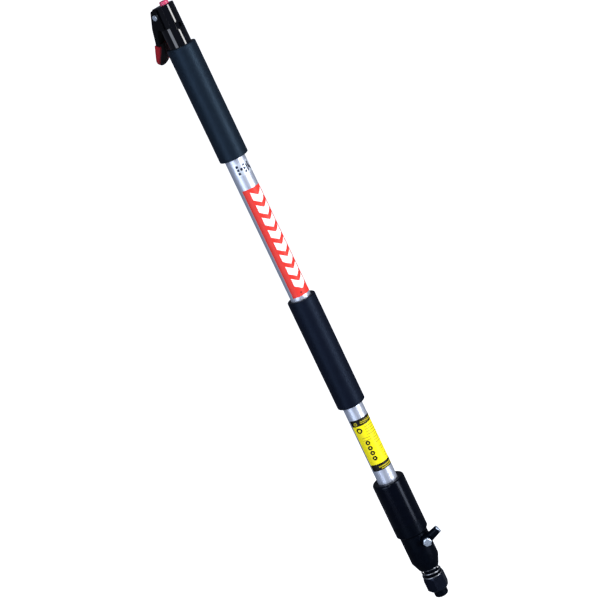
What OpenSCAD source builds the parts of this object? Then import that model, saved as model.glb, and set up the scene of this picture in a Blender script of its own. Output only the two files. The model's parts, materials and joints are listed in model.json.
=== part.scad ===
// Long-reach pneumatic chisel scaler: air hammer, tube handle and lever throttle.
// Millimetres. +Z runs up the tool axis, from the chisel socket's mouth at z = 0 to the handle.
// The lever is on the +Y side, the labels and the throttle's valve plug are on the -Y side.

/* [Chisel socket] */
// Diameter of the round socket for the chisel shank
socket_d = 17.5; // [14:0.5:21]
// Depth of the socket
socket_len = 58; // [48:1:70]
// Wall of the hardened chisel bushing
bushing_wall = 2.5; // [2:0.1:4]
// Wall of the barrel's nose round the bushing
nose_wall = 2; // [1.6:0.1:4]
// Length of the nose, from its mouth to the cone
nose_len = 63.5; // [58:0.5:74]
// Length of the nose that is pressed into the barrel
nose_seat = 7; // [5:0.5:9]
// Number of retaining balls
ball_count = 3; // [2:1:4]

/* [Chisel retainer] */
// Width of the hexagonal sleeve across its flats
retainer_af = 38.1; // [34:0.1:48]
// Length of the sleeve
retainer_len = 30; // [27:0.5:32]
// Height of the sleeve above the socket's mouth
retainer_gap = 14.5; // [10:0.5:18]
// How far the sleeve is pushed back to free the chisel
retainer_travel = 7; // [6:0.5:8]
// Clock angle of the sleeve's corners, in degrees
retainer_clock = 36; // [0:1:59]
// Wire of the conical spring
retainer_wire = 3; // [2:0.25:3.25]
// Free turns of the conical spring
retainer_turns = 2; // [1.5:0.1:2.5]

/* [Hammer barrel] */
// Outside diameter of the barrel
barrel_d = 54; // [48:0.5:66]
// Length of the cone between nose and barrel
cone_len = 18.5; // [14:0.5:30]
// Outside diameter of the cone's small end
neck_d = 39.5; // [38:0.5:46]
// Length of the barrel's straight part
barrel_len = 56.5; // [50:0.5:80]
// Outside diameter of the flange and the collar
collar_d = 62; // [58:0.5:76]
// Length of the chamfer below the flange
flange_step = 4.5; // [2:0.5:8]
// Length of the flange
flange_len = 24; // [18:1:32]
// Diameter of the striking piston
piston_d = 28.5; // [22:0.5:34]
// Length of the piston
piston_len = 50; // [40:1:60]

/* [Exhaust deflector] */
// Distance of the clamp bolt below the flange's chamfer
bolt_drop = 16; // [13:0.5:20]
// Diameter of the clamp bolt's shank
bolt_d = 9.5; // [8:0.5:10]
// Width of the bolt's head across its flats
bolt_af = 14.3; // [13:0.1:16]
// Outside diameter of the deflector's eye
eye_d = 21; // [20:0.5:25]
// Thickness of the eye
eye_t = 12; // [9:0.5:13]
// Length of the spout, from the bolt to its end
spout_len = 30; // [28:1:42]
// Outside diameter of the spout at the eye
spout_root_d = 18.5; // [16:0.5:19]
// Outside diameter of the spout at its end
spout_d = 14.6; // [12:0.2:15]
// Angle of the spout above the horizontal
spout_tilt = 21; // [0:1:30]
// Direction of the spout, in degrees from -Y towards +X
spout_clock = 50; // [20:5:70]

/* [Coupling collar] */
// Length of the collar
collar_len = 88; // [76:1:110]
// Rounded edge at the collar's top
collar_round = 4; // [2:0.5:6]
// Depth of the tube in the collar
tube_in_collar = 50; // [36:1:56]
// Depth of the barrel's spigot in the collar
spigot_len = 14; // [10:1:18]

/* [Tube and grips] */
// Outside diameter of the handle tube
tube_d = 38.1; // [34:0.1:46]
// Wall of the handle tube
tube_wall = 3.2; // [2.4:0.1:4]
// Wall of the foam grips
foam_wall = 8; // [5:0.5:10]
// Rounded edge of the foam grips
foam_round = 3; // [1.5:0.5:4]
// Length of the lower grip
lower_grip_len = 221; // [150:1:270]
// Length of the upper grip
upper_grip_len = 215.5; // [150:0.5:270]

/* [Labels] */
// Thickness of the printed labels
label_t = 0.2; // [0.1:0.05:0.4]
// Length of the yellow label
yellow_len = 107.5; // [60:0.5:130]
// Wrap of the yellow label round the tube, in degrees
yellow_wrap = 204; // [90:2:300]
// Bare tube between the collar and the yellow label
yellow_gap = 28.5; // [5:0.5:60]
// Bare tube between the yellow label and the lower grip
lower_gap = 27.5; // [5:0.5:60]
// Length of the red label
front_len = 214.5; // [120:0.5:270]
// Wrap of the red label round the tube, in degrees
front_wrap = 168; // [90:2:300]
// Bare tube between the lower grip and the red label
front_gap = 7; // [0.5:0.5:20]
// Length of the small data plate
plate_len = 24; // [16:1:40]
// Wrap of the data plate round the tube, in degrees
plate_wrap = 110; // [60:2:150]
// Bare tube between the red label and the data plate
plate_gap = 26; // [5:1:60]
// Bare tube between the data plate and the upper grip
upper_gap = 9; // [2:0.5:40]

/* [Throttle head] */
// How far the head stands out from the tube all round
head_rim = 1.4; // [1:0.1:4]
// Length of the head above the upper grip
head_len = 75; // [72:1:90]
// Length of the milled flats under the lever's cheeks
flat_len = 39.5; // [36:0.5:46]
// Depth of the milled flats
flat_depth = 5.35; // [4:0.05:5.5]
// Depth of the tube in the head
tube_in_head = 22; // [18:1:24]
// Distance of the air inlet from the tool axis
inlet_off = 8; // [7:0.5:9]
// Diameter of the threaded air inlet
inlet_d = 16.4; // [14:0.1:17]
// Depth of the air inlet's thread
inlet_len = 16; // [12:0.5:20]
// Distance of the throttle valve below the head's top
valve_drop = 40.4; // [38:0.1:44]
// Diameter of the valve plug's head
valve_plug_d = 16.3; // [15:0.1:18]

/* [Lever] */
// Angle between the released lever and the tool axis
lever_angle = 28.5; // [24:0.1:32]
// How far the lever closes when it is squeezed, in degrees
lever_travel = 10; // [6:1:12]
// Length of the lever below its pivot
lever_len = 99; // [88:1:110]
// Width of the lever's paddle
paddle_w = 28; // [26:0.2:32]
// Depth of the lever's channel
channel_depth = 9.5; // [7:0.5:11]
// Sheet thickness of the lever
lever_t = 2; // [1.5:0.25:2.5]
// Thickness of the vinyl coat on the paddle
vinyl_t = 1.5; // [0.8:0.1:1.8]
// Length of the vinyl coat, from the lever's tip
vinyl_len = 40; // [30:1:46]
// Diameter of the lever's pivot pin
pivot_d = 6; // [5:0.25:7]

/* [Fits] */
// Radial clearance of a sliding or turning fit
run_gap = 0.05; // [0.02:0.01:0.1]
// Gap between pieces that move past each other
free_gap = 0.4; // [0.3:0.05:0.6]

/* [Hidden] */
$fn = 96;
sliver = 0.01; // how far a cutting solid passes the face that it opens

// Heights along the tool axis
cone_z = nose_len;
barrel_z = cone_z + cone_len;
step_z = barrel_z + barrel_len;
flange_z = step_z + flange_step;
collar_z = flange_z + flange_len;
collar_top = collar_z + collar_len;
tube_z = collar_top - tube_in_collar;
yellow_z = collar_top + yellow_gap;
lower_grip_z = yellow_z + yellow_len + lower_gap;
front_z = lower_grip_z + lower_grip_len + front_gap;
plate_z = front_z + front_len + plate_gap;
upper_grip_z = plate_z + plate_len + upper_gap;
head_z = upper_grip_z + upper_grip_len;
head_top = head_z + head_len;
tube_top = head_z + tube_in_head;

// Chisel socket and retainer
bushing_d = socket_d + 2 * bushing_wall;
nose_d = bushing_d + 2 * nose_wall;
nose_end = max(nose_len, socket_len) + nose_seat;
nose_round = 3;
ball_d = bushing_wall + nose_wall - 0.1;
ball_drop = 11;
ball_z = retainer_gap + retainer_len - ball_drop;
ball_slack = 0.1;
ball_orbit = (socket_d + nose_d) / 4;
sleeve_r = nose_d / 2 + run_gap;
ring_wire = 1.6;
ring_bite = 1;
ring_stand = 2;
ring_z = retainer_gap + 2.6;
sleeve_bevel = 5;
sleeve_edge = 3;
spring_top_r = nose_d / 2 + retainer_wire / 2 + 1.05;
spring_low_r = retainer_af / 2 - 0.3;

// Hammer
bore_r = piston_d / 2 + run_gap;
bore_z = nose_end + 3;
spigot_top = collar_z + spigot_len;
spigot_r = collar_d / 2 - 5;
chest_r = spigot_r - 2;
block_t = 10;
cover_t = 12;
disc_r = 9;
disc_t = 1.4;
disc_lift = 1.2;
cover_z = spigot_top + block_t;
chest_top = cover_z + cover_t;
dowel_d = 3;
dowel_off = bore_r + 4.5;
air_bore_d = tube_d - 2 * tube_wall;
o_ring_d = 2.6;

// Exhaust deflector, with its own frame: +X out along the spout, +Z out along the bolt
bolt_off = bore_r + 2.1;
bolt_z = step_z - bolt_drop;
pad_sink = 4.45;
pad_wall = 2.7;
pad_h = max(sqrt(pow(barrel_d / 2, 2) - pow(bolt_off, 2)) - pad_sink, bore_r + pad_wall);
pad_r = eye_d / 2 + 1.5;
washer_t = 1.6;
bolt_head_t = 6.2;
bolt_hole_end = 10;
port_d = 5;
eye_z = pad_h + 0.1;
spout_z = eye_z + eye_t / 2;
spout_end_r = spout_d / 2;
spout_in_r = spout_end_r - 2.2;
screen_t = 2.6;

// Throttle head
head_r = tube_d / 2 + head_rim;
flat_x = head_r - flat_depth;
flat_z = head_top - flat_len;
spigot_tube_r = tube_d / 2 - 1.5;
valve_z = head_top - valve_drop;
chamber_r = 6.6;
chamber_y = -2;
seat_r = 4.5;
guide_y = 6;
pin_r = 3;
plug_thread_r = 7.4;
plug_face_y = head_r - 1.6;
cup_y = -plug_face_y + 2.35;
valve_r = 6;
valve_t = 3;
air_way_r = 4.4;

// Lever: the local frame has its origin on the pivot, +Z up the lever and +Y away from the tool
pivot_y = 9;
pivot_drop = 14.5;
pivot_z = head_top - pivot_drop;
spine_y = 10.9;
lever_top = 10.5;
lever_corner = 5;
cheek_gap = 0.3;
cheek_in = flat_x + cheek_gap;
cheek_out = cheek_in + lever_t;
paddle_half = paddle_w / 2 - vinyl_t;
waist_z = -55;
lip_y = spine_y - channel_depth;
lip_run = 34;
cheek_top = to_lever(0, head_top - 3);
cheek_toe = to_lever(1.1, flat_z + 0.8);
cheek_heel = to_lever(19, flat_z + 2.7);
shoulder_z = cheek_heel[1] - 0.6;
lip_start = -46;
pin_reach = valve_z - pivot_z;
open_face_y = face_y(lever_angle);
pin_tip_y = open_face_y - (free_gap + pin_r) / cos(lever_angle) + pin_r;
valve_lift = open_face_y - face_y(lever_angle - lever_travel);

// A point beside the head, given in the released lever's own frame
function to_lever(y, z) = [
    (y - pivot_y) * cos(lever_angle) + (z - pivot_z) * sin(lever_angle),
    -(y - pivot_y) * sin(lever_angle) + (z - pivot_z) * cos(lever_angle)
];

// Where the lever's inner face crosses the push pin's axis, for a given angle of the lever
function face_y(angle) = pivot_y - pin_reach * tan(angle) + (spine_y - lever_t) / cos(angle);

// A ring round the tool axis, given by its radii and its two heights
module ring(r_out, r_in, z0, z1) {
    translate([0, 0, z0])
    difference() {
        cylinder(r = r_out, h = z1 - z0);
        translate([0, 0, -1]) cylinder(r = r_in, h = z1 - z0 + 2);
    }
}

// A round bar along +Y, from y0 to y1, at a given x and z
module bar_y(r, y0, y1, x = 0, z = 0) {
    translate([x, y0, z]) rotate([-90, 0, 0]) cylinder(r = r, h = y1 - y0);
}

// A round bar along +X, from x0 to x1
module bar_x(r, x0, x1, y = 0, z = 0) {
    translate([x0, y, z]) rotate([0, 90, 0]) cylinder(r = r, h = x1 - x0);
}

// A torus round +Z
module o_ring(r, wire, z) {
    translate([0, 0, z]) rotate_extrude() translate([r, 0]) circle(d = wire, $fn = 32);
}

// A thin shell that covers part of the tube, centred on a clock angle from -Y towards +X
module tube_label(z, len, wrap, clock = 0) {
    translate([0, 0, z]) rotate([0, 0, clock - 90 - wrap / 2])
    rotate_extrude(angle = wrap) translate([tube_d / 2, 0]) square([label_t, len]);
}

// A rounded rectangle in the plane of a lathe profile, with a radius on its outer corners only
module lathe_block(r_in, r_out, len, round) {
    difference() {
        translate([r_in, 0]) square([r_out - r_in, len]);
        for (top = [0, 1]) translate([r_out, top * len]) mirror([0, top]) difference() {
            translate([-round, -sliver]) square([round + sliver, round + sliver]);
            translate([-round, round]) circle(r = round);
        }
    }
}

// The same with a radius on its upper outer corner only, from the axis out
module lathe_cap(r, len, round) {
    intersection() {
        translate([0, -round]) lathe_block(0, r, len + round, round);
        square([r, len]);
    }
}

// ---- Throttle head ----

module throttle_body() {
    color("#17181c") difference() {
        union() {
            translate([0, 0, head_z]) cylinder(r = head_r, h = head_len - 1.2);
            translate([0, 0, head_top - 1.2]) cylinder(r1 = head_r, r2 = head_r - 1.2, h = 1.2);
        }
        // socket for the tube, with its O-ring groove
        translate([0, 0, head_z - 1]) cylinder(r = spigot_tube_r, h = tube_in_head + 1);
        o_ring(spigot_tube_r - 0.3, o_ring_d, head_z + tube_in_head * 0.68);
        // flats under the lever's cheeks
        for (side = [-1, 1]) translate([side * (flat_x + 10), 0, flat_z + 50])
            cube([20, 60, 100], center = true);
        // slopes under the lever's back, released and squeezed
        for (angle = [lever_angle, lever_angle - lever_travel])
            translate([0, pivot_y, pivot_z]) rotate([angle, 0, 0])
                translate([-40, spine_y - lever_t - free_gap, -40]) cube([80, 40, 100]);
        bar_x(pivot_d / 2, -head_r, head_r, pivot_y, pivot_z);
        // air inlet from the top, with the narrower way down to the valve chamber
        translate([0, -inlet_off, head_top - inlet_len]) cylinder(d = inlet_d, h = inlet_len + 1);
        translate([0, -inlet_off, valve_z]) cylinder(r = air_way_r + 1, h = valve_drop - inlet_len + 1);
        // valve chamber from the -Y side, its seat and the guide of the push pin
        bar_y(chamber_r, -head_r - 1, chamber_y, 0, valve_z);
        bar_y(plug_thread_r, -head_r - 1, -plug_face_y + 9, 0, valve_z);
        bar_y(valve_plug_d / 2 + 0.3, -head_r - 1, -plug_face_y, 0, valve_z);
        bar_y(seat_r, chamber_y - 1, guide_y, 0, valve_z);
        bar_y(pin_r + run_gap, guide_y - 1, head_r + 1, 0, valve_z);
        translate([0, guide_y + 6, valve_z]) rotate([-90, 0, 0])
            ring(pin_r + 1.6, pin_r, 0, 2.4);
        // way from the seat down to the tube
        translate([0, 1.5, tube_top - 1]) cylinder(r = air_way_r, h = valve_z - tube_top + 1);
        // tapped hole of the tube's set screw
        bar_y(2.5, -head_r - 1, -spigot_tube_r + 1, 0, head_z + 11);
    }
}

// Outline of the lever seen along its plate: wide over the head's flats, narrower at the paddle
module lever_plan(grow) {
    half_top = cheek_out + grow;
    half_low = paddle_half + grow;
    tip_z = -lever_len - grow + half_low;
    top_z = lever_top + 10;
    union() {
        polygon([
            [-half_top, top_z], [-half_top, shoulder_z], [-half_low, waist_z],
            [-half_low, tip_z], [half_low, tip_z], [half_low, waist_z],
            [half_top, shoulder_z], [half_top, top_z]
        ]);
        translate([0, tip_z]) circle(r = half_low);
    }
}

// Side profile of the lever: cheeks over the head's flats, and a lip that runs out at the tip
module lever_side(grow) {
    difference() {
        polygon([
            [spine_y + grow, lever_top], [spine_y + grow, -lever_len - grow],
            [spine_y - lever_t - grow, -lever_len - grow], [lip_y - grow, -lever_len + lip_run],
            [lip_y - grow, lip_start], cheek_heel, cheek_toe, cheek_top,
            [spine_y - lever_corner, lever_top]
        ]);
        // rounded corner over the head
        translate([spine_y - lever_corner, lever_top - lever_corner]) difference() {
            square(2 * lever_corner);
            circle(r = lever_corner);
        }
    }
}

// The solid that a plan and a side profile enclose together
module lever_solid(plan_grow, side_grow) {
    intersection() {
        rotate([90, 0, 0]) translate([0, 0, -30]) linear_extrude(60) lever_plan(plan_grow);
        rotate([90, 0, 90]) translate([0, 0, -30]) linear_extrude(60) lever_side(side_grow);
    }
}

// The hollow of the channel, open towards the tool
module lever_hollow(shrink) {
    intersection() {
        rotate([90, 0, 0]) translate([0, 0, -30]) linear_extrude(60)
            lever_plan(-lever_t - shrink);
        translate([-30, -40, -120]) cube([60, 40 + spine_y - lever_t - shrink, 150]);
    }
}

// Moves the lever's local frame to its place on the head
module on_lever() {
    translate([0, pivot_y, pivot_z]) rotate([lever_angle, 0, 0]) children();
}

module throttle_lever() {
    color("#131417") on_lever() difference() {
        lever_solid(0, 0);
        lever_hollow(0);
        // the channel is open at its upper end
        translate([-cheek_in, -40, 0]) cube([2 * cheek_in, 40 + spine_y - lever_t, 60]);
        bar_x(pivot_d / 2 + run_gap, -40, 40);
    }
}

module lever_sleeve() {
    color("#a52a36") on_lever() difference() {
        intersection() {
            lever_solid(vinyl_t, vinyl_t);
            translate([-40, -40, -lever_len - 10]) cube([80, 80, vinyl_len + 10]);
        }
        lever_hollow(vinyl_t);
        difference() {
            lever_solid(0, 0);
            lever_hollow(0);
        }
    }
}

module lever_pivot_pin() {
    head_t = 2.4;
    color("#c9ced6") difference() {
        union() {
            bar_x(pivot_d / 2, -cheek_out - 0.3, cheek_out + 3.2, pivot_y, pivot_z);
            bar_x(pivot_d / 2 + 1.9, -cheek_out - 0.3 - head_t, -cheek_out - 0.3, pivot_y, pivot_z);
        }
        translate([cheek_out + 0.8, pivot_y, pivot_z]) rotate([0, 90, 0])
            ring(pivot_d, pivot_d / 2 - 0.7, 0, 1);
    }
}

module pivot_ring() {
    color("#9aa0a8") translate([cheek_out + 0.8, pivot_y, pivot_z]) rotate([0, 90, 0]) difference() {
        ring(pivot_d / 2 + 2.2, pivot_d / 2 - 0.7, 0, 1);
        translate([0, 0, -1]) rotate([0, 0, 90]) translate([0, -pivot_d / 2 + 1.1, 0])
            cube([10, pivot_d - 2.2, 3]);
    }
}

module push_pin() {
    color("#b9bfc8") union() {
        bar_y(pin_r, guide_y - 1, pin_tip_y - pin_r, 0, valve_z);
        translate([0, pin_tip_y - pin_r, valve_z]) sphere(r = pin_r, $fn = 48);
        bar_y(pin_r - 0.8, chamber_y, guide_y - 1, 0, valve_z);
    }
}

module push_pin_o_ring() {
    color("#101010") translate([0, guide_y + 6, valve_z]) rotate([-90, 0, 0])
        ring(pin_r + 1.6, pin_r + run_gap, 0.2, 2.2);
}

module throttle_valve() {
    color("#c2a05a") union() {
        bar_y(valve_r, chamber_y - valve_t, chamber_y - run_gap, 0, valve_z);
        bar_y(2, chamber_y - valve_t - 1.5, chamber_y - valve_t, 0, valve_z);
    }
}

// A round wire swept along a path: one ring of points at each station, closed at both ends
module wire(path, r, sides) {
    n = len(path);
    tangent = [for (i = [0 : n - 1]) path[min(i + 1, n - 1)] - path[max(i - 1, 0)]];
    points = [
        for (i = [0 : n - 1], k = [0 : sides - 1])
            let (
                t = tangent[i] / norm(tangent[i]),
                out = [path[i][0], path[i][1], 0] / norm([path[i][0], path[i][1]]),
                side = cross(t, out) / norm(cross(t, out)),
                up = cross(side, t),
                a = 360 * k / sides
            )
            path[i] + r * (cos(a) * up + sin(a) * side)
    ];
    walls = [
        for (i = [0 : n - 2], k = [0 : sides - 1])
            let (j = (k + 1) % sides)
            [i * sides + k, (i + 1) * sides + k, (i + 1) * sides + j, i * sides + j]
    ];
    ends = [
        [for (k = [0 : sides - 1]) k],
        [for (k = [sides - 1 : -1 : 0]) (n - 1) * sides + k]
    ];
    polyhedron(points, concat(walls, ends));
}

// Part of the height of a coil spring that its wire has climbed, with flat turns at both ends
function climb(turn, free, flat) = min(max((turn - flat) / free, 0), 1);

module valve_spring() {
    wire_r = 0.45;
    coil_r = 4.2;
    free = 2.5;
    flat = 0.4;
    steps = 24;
    low = cup_y + wire_r;
    high = chamber_y - valve_t - valve_lift - free_gap - wire_r;
    path = [
        for (i = [0 : round(steps * (free + 2 * flat))])
            let (turn = i / steps)
            [
                coil_r * cos(360 * turn), coil_r * sin(360 * turn),
                low + (high - low) * climb(turn, free, flat)
            ]
    ];
    color("#a9afb8") translate([0, 0, valve_z]) rotate([-90, 0, 0]) wire(path, wire_r, 8);
}

module valve_cap_plug() {
    cap_y = -plug_face_y - 2.2;
    color("#33363c") difference() {
        union() {
            bar_y(plug_thread_r, -plug_face_y, -plug_face_y + 5, 0, valve_z);
            bar_y(valve_plug_d / 2, cap_y, -plug_face_y, 0, valve_z);
        }
        translate([0, cap_y - 1, valve_z]) rotate([-90, 0, 0]) cylinder(d = 9.2, h = 4.4, $fn = 6);
        bar_y(5.2, cup_y, 0, 0, valve_z);
        translate([0, -plug_face_y + 1.2, valve_z]) rotate([-90, 0, 0])
            ring(plug_thread_r + 1, plug_thread_r - 1.2, 0, 2);
    }
}

module cap_o_ring() {
    color("#101010") translate([0, -plug_face_y + 1.2, valve_z]) rotate([-90, 0, 0])
        ring(plug_thread_r, plug_thread_r - 1.2, 0, 2);
}

module inlet_screen() {
    screen_r = inlet_d / 2 - 0.1;
    color("#b08a3c") translate([0, -inlet_off, head_top - inlet_len]) difference() {
        cylinder(r = screen_r, h = 1);
        for (row = [-2 : 2], col = [-2 : 2])
            if (norm([row, col]) < 2.3) translate([row * 2.6, col * 2.6, -1]) cylinder(d = 1.5, h = 3);
    }
}

module inlet_plug() {
    body_len = inlet_len - 3;
    body_r = inlet_d / 2 - 0.1;
    color("#e0567f") translate([0, -inlet_off, head_top]) difference() {
        union() {
            translate([0, 0, -body_len]) cylinder(r1 = body_r - 0.6, r2 = body_r, h = body_len);
            cylinder(d = inlet_d - 0.4, h = 5.3);
            translate([0, 0, 5.3]) cylinder(r1 = inlet_d / 2 - 0.2, r2 = inlet_d / 2 - 1.4, h = 1.2);
        }
        translate([0, 0, -body_len - 1]) cylinder(r = body_r - 1.8, h = body_len + 5);
    }
}

module tube_set_screw() {
    color("#c9ced6") difference() {
        bar_y(2.5, -head_r + 0.2, -spigot_tube_r, 0, head_z + 11);
        translate([0, -head_r - 1, head_z + 11]) rotate([-90, 0, 0])
            cylinder(d = 2.9, h = 2.8, $fn = 6);
    }
}

module head_o_ring() {
    color("#101010") translate([0, 0, 0]) intersection() {
        o_ring(spigot_tube_r - 0.3, o_ring_d, head_z + tube_in_head * 0.68);
        ring(spigot_tube_r + 4, spigot_tube_r, head_z, head_top);
    }
}

// ---- Tube, grips and labels ----

module handle_tube() {
    color("#b9c6dd") difference() {
        union() {
            translate([0, 0, tube_z]) cylinder(d = tube_d, h = head_z - tube_z);
            translate([0, 0, head_z - 1]) cylinder(r = spigot_tube_r, h = tube_in_head + 1);
        }
        translate([0, 0, tube_z - 1]) cylinder(d = air_bore_d, h = tube_top - tube_z + 2);
    }
}

module foam_grip(z, len) {
    translate([0, 0, z]) rotate_extrude()
        lathe_block(tube_d / 2, tube_d / 2 + foam_wall, len, foam_round);
}

module upper_grip() {
    color("#2b3846") foam_grip(upper_grip_z, upper_grip_len);
}

module lower_grip() {
    color("#1a2030") foam_grip(lower_grip_z, lower_grip_len);
}

module data_plate() {
    color("#c9ced6") tube_label(plate_z, plate_len, plate_wrap, -15);
}

module front_label() {
    color("#f04a42") tube_label(front_z, front_len, front_wrap);
}

module yellow_label() {
    color("#f8ef1e") tube_label(yellow_z, yellow_len, yellow_wrap);
}

// ---- Collar and valve chest ----

module coupling_collar() {
    color("#101320") difference() {
        translate([0, 0, collar_z]) rotate_extrude()
            lathe_cap(collar_d / 2, collar_len, collar_round);
        translate([0, 0, collar_z - 1]) cylinder(r = spigot_r, h = spigot_len + 1);
        translate([0, 0, spigot_top - 1]) cylinder(r = chest_r, h = chest_top - spigot_top + 1);
        translate([0, 0, chest_top - 1]) cylinder(d = air_bore_d - 4, h = tube_z - chest_top + 2);
        translate([0, 0, tube_z]) cylinder(d = tube_d, h = tube_in_collar + 1);
        o_ring(tube_d / 2 + 0.6, o_ring_d, collar_top - 7);
        // lead-in at the mouth, which shows as a dark line round the tube
        translate([0, 0, collar_top - 1.5])
            cylinder(r1 = tube_d / 2, r2 = tube_d / 2 + 1.6, h = 1.6);
    }
}

module tube_o_ring() {
    color("#101010") intersection() {
        o_ring(tube_d / 2 + 0.6, o_ring_d, collar_top - 7);
        ring(tube_d, tube_d / 2, collar_top - 12, collar_top);
    }
}

module valve_cover() {
    color("#8d939c") difference() {
        translate([0, 0, cover_z]) cylinder(r = chest_r, h = cover_t);
        translate([0, 0, cover_z - 1]) cylinder(r = disc_r + run_gap, h = disc_t + disc_lift + 1.6);
        for (k = [0 : 5]) rotate([0, 0, 60 * k]) translate([disc_r - 3, 0, cover_z - 1])
            cylinder(d = 3.5, h = cover_t + 2);
        translate([dowel_off, 0, cover_z - 1]) cylinder(d = dowel_d, h = 6);
    }
}

module valve_disc() {
    color("#b9bfc8") translate([0, 0, cover_z + 0.3]) cylinder(r = disc_r, h = disc_t);
}

module valve_block() {
    color("#7c828b") difference() {
        translate([0, 0, spigot_top]) cylinder(r = chest_r, h = block_t);
        translate([0, 0, spigot_top - 1]) cylinder(d = 8, h = block_t + 2);
        for (k = [0 : 3]) rotate([0, 0, 45 + 90 * k]) translate([bore_r - 3, 0, spigot_top - 1])
            cylinder(d = 3, h = block_t - 2);
        translate([dowel_off, 0, spigot_top - 1]) cylinder(d = dowel_d, h = block_t + 2);
    }
}

module valve_dowel() {
    color("#c9ced6") translate([dowel_off, 0, spigot_top - 5]) cylinder(d = dowel_d, h = block_t + 9);
}

// ---- Hammer ----

// Moves the bolt's local frame to its place on the barrel
module on_bolt() {
    rotate([0, 0, spout_clock - 90]) translate([bolt_off, 0, bolt_z]) rotate([90, 0, 0]) children();
}

module hammer_barrel() {
    color("#15171c") difference() {
        union() {
            translate([0, 0, cone_z]) cylinder(d1 = neck_d, d2 = barrel_d, h = cone_len);
            translate([0, 0, barrel_z]) cylinder(d = barrel_d, h = barrel_len);
            translate([0, 0, step_z]) cylinder(d1 = barrel_d, d2 = collar_d, h = flange_step);
            translate([0, 0, flange_z]) cylinder(d = collar_d, h = flange_len);
            translate([0, 0, collar_z - 1]) cylinder(r = spigot_r, h = spigot_len + 1);
            on_bolt() cylinder(r = pad_r, h = pad_h);
        }
        // nose seat, shank way and piston bore
        translate([0, 0, cone_z - 1]) cylinder(d = nose_d, h = nose_end - cone_z + 1);
        translate([0, 0, nose_end - 1]) cylinder(d = socket_d + 1, h = bore_z - nose_end + 2);
        translate([0, 0, bore_z]) cylinder(r = bore_r, h = spigot_top - bore_z + 1);
        translate([dowel_off, 0, spigot_top - 5]) cylinder(d = dowel_d, h = 6);
        // spotface, bolt hole and exhaust port
        on_bolt() {
            translate([0, 0, pad_h]) cylinder(r = pad_r, h = 30);
            translate([0, 0, bolt_hole_end]) cylinder(d = bolt_d, h = 30);
            translate([0, 0, 2]) cylinder(d = port_d, h = 30);
            translate([-bolt_off + bore_r - 5, 0, 4.5]) rotate([0, 90, 0])
                cylinder(d = port_d, h = bolt_off - bore_r + 5);
        }
    }
}

module hammer_nose() {
    color("#15171c") difference() {
        union() {
            translate([0, 0, nose_round]) cylinder(d = nose_d, h = nose_end - nose_round);
            rotate_extrude() intersection() {
                translate([nose_d / 2 - nose_round, nose_round]) circle(r = nose_round);
                square([nose_d / 2, nose_round]);
            }
            cylinder(r = nose_d / 2 - nose_round, h = nose_round);
        }
        translate([0, 0, -1]) cylinder(d = bushing_d, h = nose_end + 2);
        ball_holes();
        translate([0, 0, ring_z]) ring(nose_d, nose_d / 2 - ring_bite, 0, ring_wire);
    }
}

module ball_holes() {
    for (k = [0 : ball_count - 1]) rotate([0, 0, 30 + 360 * k / ball_count])
        bar_x(ball_d / 2 + ball_slack, socket_d / 2 - 1.5, nose_d / 2 + 1, 0, ball_z);
}

module piston() {
    edge = 1.5;
    color("#aab0b9") translate([0, 0, bore_z + free_gap]) union() {
        cylinder(r1 = piston_d / 2 - edge, r2 = piston_d / 2, h = edge);
        translate([0, 0, edge]) cylinder(d = piston_d, h = piston_len - 2 * edge);
        translate([0, 0, piston_len - edge])
            cylinder(r1 = piston_d / 2, r2 = piston_d / 2 - edge, h = edge);
    }
}

module chisel_bushing() {
    color("#7c828b") difference() {
        cylinder(d = bushing_d, h = socket_len);
        translate([0, 0, -1]) cylinder(d = socket_d, h = socket_len + 2);
        ball_holes();
    }
}

module retaining_balls() {
    color("#c9ced6") for (k = [0 : ball_count - 1]) rotate([0, 0, 30 + 360 * k / ball_count])
        translate([ball_orbit, 0, ball_z]) sphere(d = ball_d, $fn = 48);
}

module retainer_sleeve() {
    corner_r = retainer_af / cos(30) / 2;
    low = sleeve_bevel + 0.8;
    room_r = nose_d / 2 + ring_stand + free_gap;
    room_len = ring_z - retainer_gap + ring_wire + free_gap;
    relief_z = ball_z - retainer_gap - retainer_travel;
    color("#23262c") translate([0, 0, retainer_gap]) difference() {
        intersection() {
            rotate([0, 0, retainer_clock]) cylinder(r = corner_r, h = retainer_len, $fn = 6);
            union() {
                cylinder(r1 = corner_r - sleeve_bevel, r2 = corner_r + 0.2, h = low);
                translate([0, 0, low])
                    cylinder(r = corner_r + 0.2, h = retainer_len - low - sleeve_edge);
                translate([0, 0, retainer_len - sleeve_edge])
                    cylinder(r1 = corner_r + 0.2, r2 = corner_r - 2.4, h = sleeve_edge);
            }
        }
        translate([0, 0, -1]) cylinder(r = sleeve_r, h = retainer_len + 2);
        // room for the snap ring
        translate([0, 0, -1]) cylinder(r = room_r, h = room_len + 1);
        // relief that lets the balls out when the sleeve is pushed back
        translate([0, 0, relief_z]) ring(sleeve_r + 2, sleeve_r - 1, -ball_d / 2, ball_d / 2);
    }
}

module retainer_spring() {
    flat = 0.4;
    steps = 36;
    turns = retainer_turns + 2 * flat;
    low = retainer_gap + retainer_len + retainer_wire / 2;
    high = cone_z - retainer_wire / 2;
    path = [
        for (i = [0 : round(steps * turns)])
            let (
                turn = i / steps,
                up = climb(turn, retainer_turns, flat),
                r = spring_low_r + (spring_top_r - spring_low_r) * up,
                a = -360 * turn
            )
            [r * cos(a), r * sin(a), low + (high - low) * up]
    ];
    color("#c9ced6") wire(path, retainer_wire / 2 - 0.01, 14);
}

module snap_ring() {
    color("#8d939c") translate([0, 0, ring_z]) difference() {
        ring(nose_d / 2 + ring_stand, nose_d / 2 - ring_bite, 0, ring_wire);
        rotate([0, 0, 200]) translate([0, -2, -1]) cube([nose_d, 4, ring_wire + 2]);
    }
}

// ---- Exhaust deflector ----

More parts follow.
